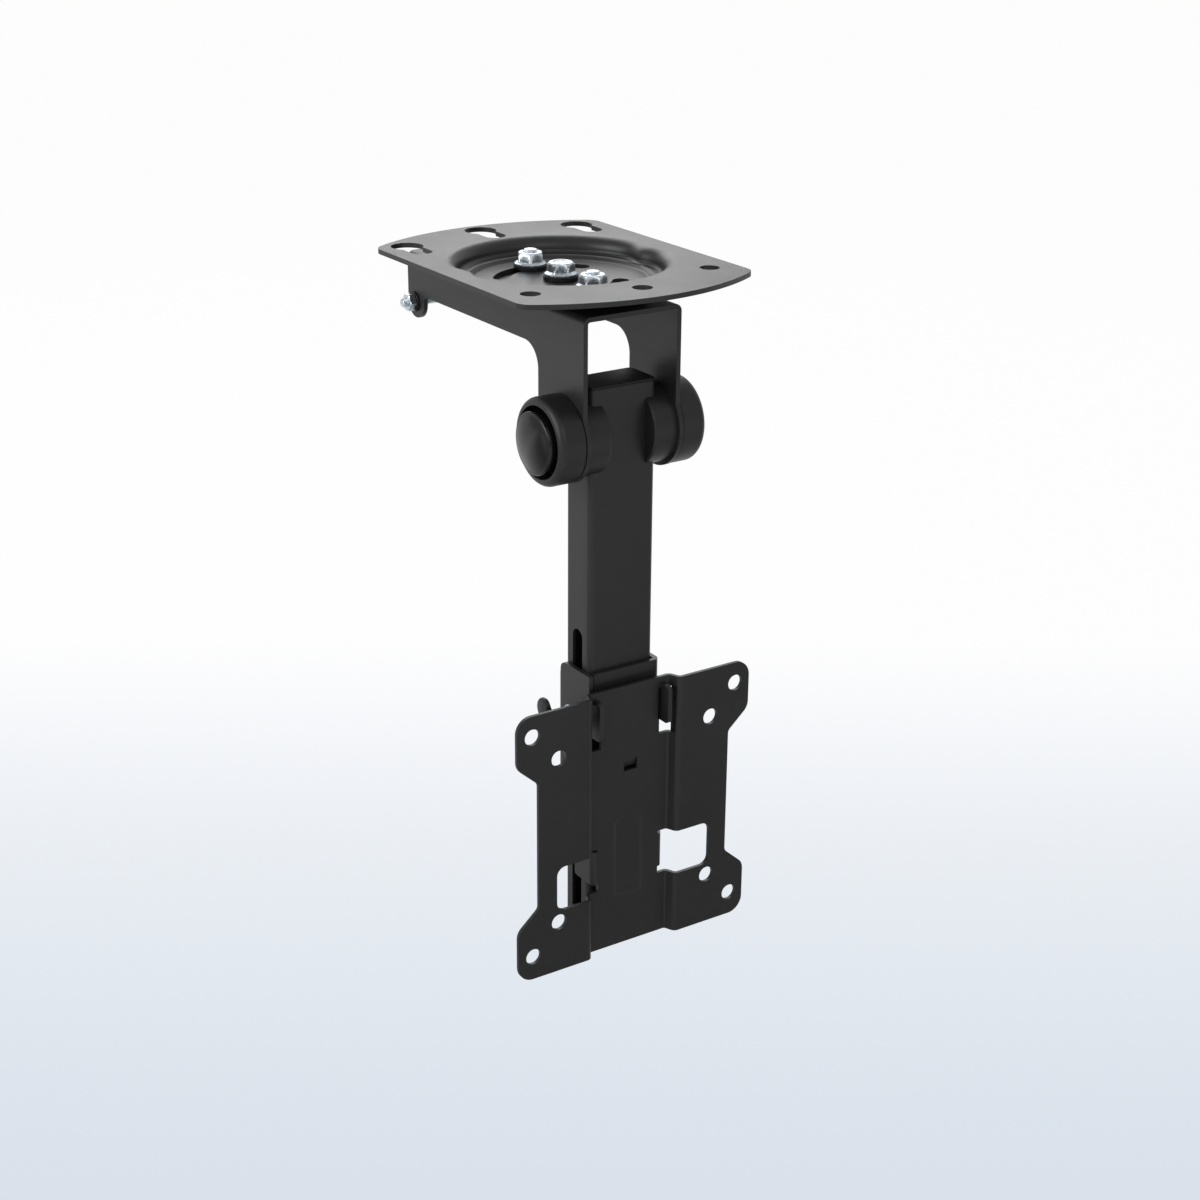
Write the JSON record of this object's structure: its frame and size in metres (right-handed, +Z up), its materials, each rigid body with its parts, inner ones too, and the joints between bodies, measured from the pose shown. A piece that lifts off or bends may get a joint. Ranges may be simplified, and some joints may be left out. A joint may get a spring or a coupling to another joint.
{
  "type": "tv ceiling mount",
  "caption": "Ceiling bracket for a small flat screen: swivelling channel arm under a dished plate, folding drop tube, and a screen plate on a sliding sleeve.",
  "frame": {"origin": "on the swivel axis, in the top face of the ceiling plate, which meets the ceiling", "axes": "+Z up to the ceiling, -Y the way the screen faces, +X across the screen plate"},
  "size_m": [0.1144, 0.1589, 0.2856],
  "materials": {
    "black_steel": "satin powder coat",
    "bright_zinc": "bright zinc plate",
    "black_washer": "black oxide",
    "black_plastic": "fine grained moulding",
    "glossy_button": "smooth moulding"
  },
  "bodies": {
    "plate": {"ceiling_plate": "black_steel"},
    "arm": {"arm_bracket": "black_steel", "swivel_bolt": "bright_zinc", "swivel_washer": "black_washer", "swivel_nut": "bright_zinc", "guide_bolts": "bright_zinc", "guide_washers": "black_washer", "guide_nuts": "bright_zinc", "pivot_bolt": "bright_zinc", "pivot_nut": "bright_zinc", "left_cap": "black_plastic", "right_cap": "black_plastic", "left_button": "glossy_button", "right_button": "glossy_button", "cross_bolt": "bright_zinc", "cross_bolt_nut": "bright_zinc", "cross_bolt_washers": "black_washer"},
    "drop_tube": {"tube": "black_steel", "top_plug": "black_plastic", "bottom_plug": "black_plastic", "left_spacer": "black_plastic", "right_spacer": "black_plastic"},
    "slider": {"sleeve": "black_steel", "screen_plate": "black_steel", "wing_washer": "bright_zinc", "clamp_washer": "bright_zinc", "clamp_nut": "bright_zinc"},
    "wing_bolt": {"wing_grip": "black_plastic", "wing_stud": "bright_zinc"}
  },
  "joints": [
    {"name": "arm_swivel", "type": "hinge", "parent": "plate", "child": "arm", "pos_m": [0, 0, 0], "axis": [0, 0, 1], "range_deg": [-50, 50]},
    {"name": "tube_fold", "type": "hinge", "parent": "arm", "child": "drop_tube", "pos_m": [0, -0.0369, -0.0611], "axis": [1, 0, 0], "range_deg": [-15, 90]},
    {"name": "sleeve_slide", "type": "slide", "parent": "drop_tube", "child": "slider", "axis": [0, 0, 1], "range_m": [-0.088, 0.036]},
    {"name": "wing_turn", "type": "hinge", "parent": "slider", "child": "wing_bolt", "pos_m": [-0.02, -0.0369, -0.183], "axis": [1, 0, 0], "continuous": true}
  ]
}
